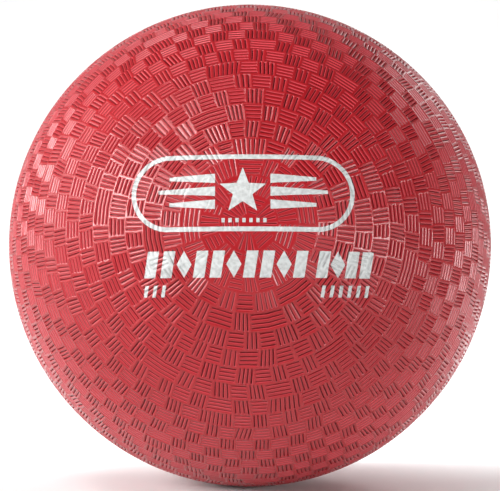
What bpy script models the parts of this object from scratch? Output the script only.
"""Rubber playground ball: cover, inner ply, nylon winding, bladder and inflation valve.

Metres, +Z up.  The origin is the centre of the ball, the printed side faces -Y and the
valve is on +Y.  Every piece is turned about the valve axis, and is drawn as a profile of
(distance off the axis, height along the axis) points with the valve at the top.
"""
import math

import bmesh
import bpy

MM = 0.001

# Ball, from the outside in
BALL_DIAMETER = 177.8 * MM
COVER_WALL = 1.4 * MM
INNER_PLY_WALL = 0.5 * MM
WINDING_WALL = 0.4 * MM
BLADDER_WALL = 0.5 * MM

# Trimmed flash where the two halves of the mould met
PARTING_LINE_HEIGHT = 0.15 * MM
PARTING_LINE_BASE_WIDTH = 1.2 * MM
PARTING_LINE_TOP_WIDTH = 0.6 * MM

# Valve
VALVE_FACE_DIAMETER = 10.0 * MM
VALVE_FACE_CHAMFER = 0.3 * MM
VALVE_FLANGE_DIAMETER = 28.0 * MM
VALVE_FLANGE_THICKNESS = 1.2 * MM
VALVE_BARREL_LENGTH = 14.0 * MM
VALVE_PATCH_DIAMETER = 40.0 * MM
VALVE_PATCH_THICKNESS = 0.6 * MM
NEEDLE_MOUTH_DIAMETER = 3.6 * MM
NEEDLE_HOLE_DIAMETER = 2.0 * MM
NEEDLE_MOUTH_DEPTH = 1.0 * MM
NEEDLE_HOLE_DEPTH = 2.5 * MM

# Self-sealing plug
PLUG_DIAMETER = 5.4 * MM
PLUG_HEAD_DIAMETER = 8.0 * MM
PLUG_HEAD_LENGTH = 2.4 * MM
PLUG_HEAD_CHAMFER = 0.6 * MM
PLUG_PASSAGE_DIAMETER = 1.2 * MM

# Fit between pieces that touch, and between the valve stem and the holes it passes through
LAYER_GAP = 0.3 * MM
STEM_CLEARANCE = 0.3 * MM

# Facets round the valve axis, and the same angle between facets along a meridian
ROUND_STEPS = 40
ARC_STEP = 2 * math.pi / ROUND_STEPS
MERGE_DISTANCE = 0.01 * MM

# Radii that follow from the sizes above
BALL_RADIUS = BALL_DIAMETER / 2
COVER_INSIDE = BALL_RADIUS - COVER_WALL
INNER_PLY_OUTSIDE = COVER_INSIDE - LAYER_GAP
INNER_PLY_INSIDE = INNER_PLY_OUTSIDE - INNER_PLY_WALL
WINDING_OUTSIDE = INNER_PLY_INSIDE - LAYER_GAP
WINDING_INSIDE = WINDING_OUTSIDE - WINDING_WALL
BLADDER_OUTSIDE = WINDING_INSIDE - LAYER_GAP
BLADDER_INSIDE = BLADDER_OUTSIDE - BLADDER_WALL
PATCH_OUTSIDE = BLADDER_INSIDE - LAYER_GAP
PATCH_INSIDE = PATCH_OUTSIDE - VALVE_PATCH_THICKNESS
FLANGE_OUTSIDE = PATCH_INSIDE - LAYER_GAP
FLANGE_INSIDE = FLANGE_OUTSIDE - VALVE_FLANGE_THICKNESS
STEM_RADIUS = VALVE_FACE_DIAMETER / 2
STEM_HOLE_RADIUS = STEM_RADIUS + STEM_CLEARANCE
BORE_RADIUS = PLUG_DIAMETER / 2 + LAYER_GAP


def clear_scene():
    """Remove every object of the start-up scene."""
    for thing in list(bpy.data.objects):
        bpy.data.objects.remove(thing, do_unlink=True)


def material(name, colour, roughness):
    """A plain non-metal material."""
    made = bpy.data.materials.new(name)
    made.use_nodes = True
    shader = made.node_tree.nodes["Principled BSDF"]
    shader.inputs["Base Color"].default_value = (*colour, 1.0)
    shader.inputs["Roughness"].default_value = roughness
    shader.inputs["Metallic"].default_value = 0.0
    return made


def sphere_point(radius, polar):
    """Profile point of a sphere at an angle from the valve end of the axis."""
    return (radius * math.sin(polar), radius * math.cos(polar))


def on_facet(radius, off_axis):
    """Profile point of the faceted sphere, on the valve side, at a distance off the axis."""
    step = int(math.asin(off_axis / radius) / ARC_STEP)
    near = sphere_point(radius, step * ARC_STEP)
    far = sphere_point(radius, (step + 1) * ARC_STEP)
    share = (off_axis - near[0]) / (far[0] - near[0])
    return (off_axis, near[1] + share * (far[1] - near[1]))


def dome(radius, near, far):
    """Profile of the faceted sphere on the valve side between two distances off the axis."""
    corners = [sphere_point(radius, step * ARC_STEP) for step in range(1, ROUND_STEPS // 4)]
    between = [point for point in corners if near < point[0] < far]
    return [on_facet(radius, near), *between, on_facet(radius, far)]


def meridian(radius, hole):
    """Profile of the faceted sphere from a hole at the valve to the printed pole."""
    corners = [sphere_point(radius, step * ARC_STEP) for step in range(1, ROUND_STEPS // 2)]
    below_hole = [point for point in corners if point[0] > hole or point[1] < 0.0]
    return [on_facet(radius, hole), *below_hole, (0.0, -radius)]


def with_parting_line(outline):
    """Raise the trimmed flash where the outline crosses the equator."""
    half_base = PARTING_LINE_BASE_WIDTH / 2
    half_top = PARTING_LINE_TOP_WIDTH / 2
    base_radius = BALL_RADIUS - half_base * math.tan(ARC_STEP / 2)
    top_radius = BALL_RADIUS + PARTING_LINE_HEIGHT
    bead = [(base_radius, half_base), (top_radius, half_top),
            (top_radius, -half_top), (base_radius, -half_base)]
    above = [point for point in outline if point[1] > half_base]
    below = [point for point in outline if point[1] < -half_base]
    return above + bead + below


def turned(name, profile, closed, finish, group):
    """One solid of revolution about the valve axis, which points along +Y."""
    mesh = bpy.data.meshes.new(name)
    shape = bmesh.new()
    corners = [shape.verts.new((off_axis, 0.0, height)) for off_axis, height in profile]
    for first, second in zip(corners, corners[1:]):
        shape.edges.new((first, second))
    if closed:
        shape.edges.new((corners[-1], corners[0]))
    shape.to_mesh(mesh)
    shape.free()
    mesh.materials.append(finish)

    piece = bpy.data.objects.new(name, mesh)
    group.objects.link(piece)
    piece.rotation_euler = (math.radians(-90.0), 0.0, 0.0)

    screw = piece.modifiers.new("turn", "SCREW")
    screw.axis = "Z"
    screw.steps = ROUND_STEPS
    screw.render_steps = ROUND_STEPS
    screw.use_merge_vertices = True
    screw.merge_threshold = MERGE_DISTANCE
    screw.use_smooth_shade = True
    return piece


def shell(name, outside, inside, finish, group):
    """One layer of the ball, open where the valve stem passes through it."""
    inner = meridian(inside, STEM_HOLE_RADIUS)
    outer = meridian(outside, STEM_HOLE_RADIUS)
    turned(name, inner[::-1] + outer, False, finish, group)


def build_cover(group):
    """Moulded outer ply with the parting line round its equator."""
    red_rubber = material("cover_rubber", (0.58, 0.015, 0.022), 0.42)
    inner = meridian(COVER_INSIDE, STEM_HOLE_RADIUS)
    outer = with_parting_line(meridian(BALL_RADIUS, STEM_HOLE_RADIUS))
    turned("cover", inner[::-1] + outer, False, red_rubber, group)


def build_inner_layers(group):
    """Second rubber ply, wound nylon thread and air bladder, each inside the last."""
    ply_rubber = material("ply_rubber", (0.33, 0.20, 0.11), 0.70)
    nylon = material("nylon_thread", (0.80, 0.78, 0.70), 0.55)
    butyl = material("butyl_rubber", (0.018, 0.018, 0.020), 0.60)
    shell("inner_ply", INNER_PLY_OUTSIDE, INNER_PLY_INSIDE, ply_rubber, group)
    shell("nylon_winding", WINDING_OUTSIDE, WINDING_INSIDE, nylon, group)
    shell("bladder", BLADDER_OUTSIDE, BLADDER_INSIDE, butyl, group)


def build_valve_patch(group):
    """Reinforcing disc between the bladder and the flange of the valve."""
    fabric = material("patch_fabric", (0.05, 0.05, 0.055), 0.80)
    edge = VALVE_PATCH_DIAMETER / 2
    under = dome(PATCH_INSIDE, STEM_HOLE_RADIUS, edge)
    top = dome(PATCH_OUTSIDE, STEM_HOLE_RADIUS, edge)
    turned("valve_patch", under[::-1] + top, True, fabric, group)


def build_valve_housing(group):
    """Stem with the flat outer face, flange under the patch, and barrel with the plug bore."""
    valve_rubber = material("valve_rubber", (0.030, 0.030, 0.032), 0.50)
    mouth_radius = NEEDLE_MOUTH_DIAMETER / 2
    hole_radius = NEEDLE_HOLE_DIAMETER / 2
    mouth_floor = BALL_RADIUS - NEEDLE_MOUTH_DEPTH
    bore_roof = BALL_RADIUS - NEEDLE_HOLE_DEPTH
    flange_edge = VALVE_FLANGE_DIAMETER / 2
    barrel_end = on_facet(FLANGE_INSIDE, STEM_RADIUS)[1] - VALVE_BARREL_LENGTH
    needle_side = [(BORE_RADIUS, barrel_end), (BORE_RADIUS, bore_roof), (hole_radius, bore_roof),
                   (hole_radius, mouth_floor), (mouth_radius, BALL_RADIUS)]
    face_edge = [(STEM_RADIUS - VALVE_FACE_CHAMFER, BALL_RADIUS),
                 (STEM_RADIUS, BALL_RADIUS - VALVE_FACE_CHAMFER)]
    flange_top = dome(FLANGE_OUTSIDE, STEM_RADIUS, flange_edge)
    flange_under = dome(FLANGE_INSIDE, STEM_RADIUS, flange_edge)
    barrel_side = [(STEM_RADIUS, barrel_end)]
    profile = needle_side + face_edge + flange_top + flange_under[::-1] + barrel_side
    turned("valve_housing", profile, True, valve_rubber, group)


def build_valve_plug(group):
    """Self-sealing core: its shank fills the bore and its head sits under the barrel."""
    plug_rubber = material("plug_rubber", (0.10, 0.10, 0.10), 0.45)
    passage = PLUG_PASSAGE_DIAMETER / 2
    shank = PLUG_DIAMETER / 2
    head = PLUG_HEAD_DIAMETER / 2
    shank_top = BALL_RADIUS - NEEDLE_HOLE_DEPTH - LAYER_GAP
    barrel_end = on_facet(FLANGE_INSIDE, STEM_RADIUS)[1] - VALVE_BARREL_LENGTH
    head_top = barrel_end - LAYER_GAP
    head_end = head_top - PLUG_HEAD_LENGTH
    profile = [(passage, head_end), (passage, shank_top), (shank, shank_top), (shank, head_top),
               (head, head_top), (head, head_end + PLUG_HEAD_CHAMFER),
               (head - PLUG_HEAD_CHAMFER, head_end)]
    turned("valve_plug", profile, True, plug_rubber, group)


clear_scene()
ball = bpy.data.collections.new("playground_ball")
bpy.context.scene.collection.children.link(ball)
build_cover(ball)
build_inner_layers(ball)
build_valve_patch(ball)
build_valve_housing(ball)
build_valve_plug(ball)
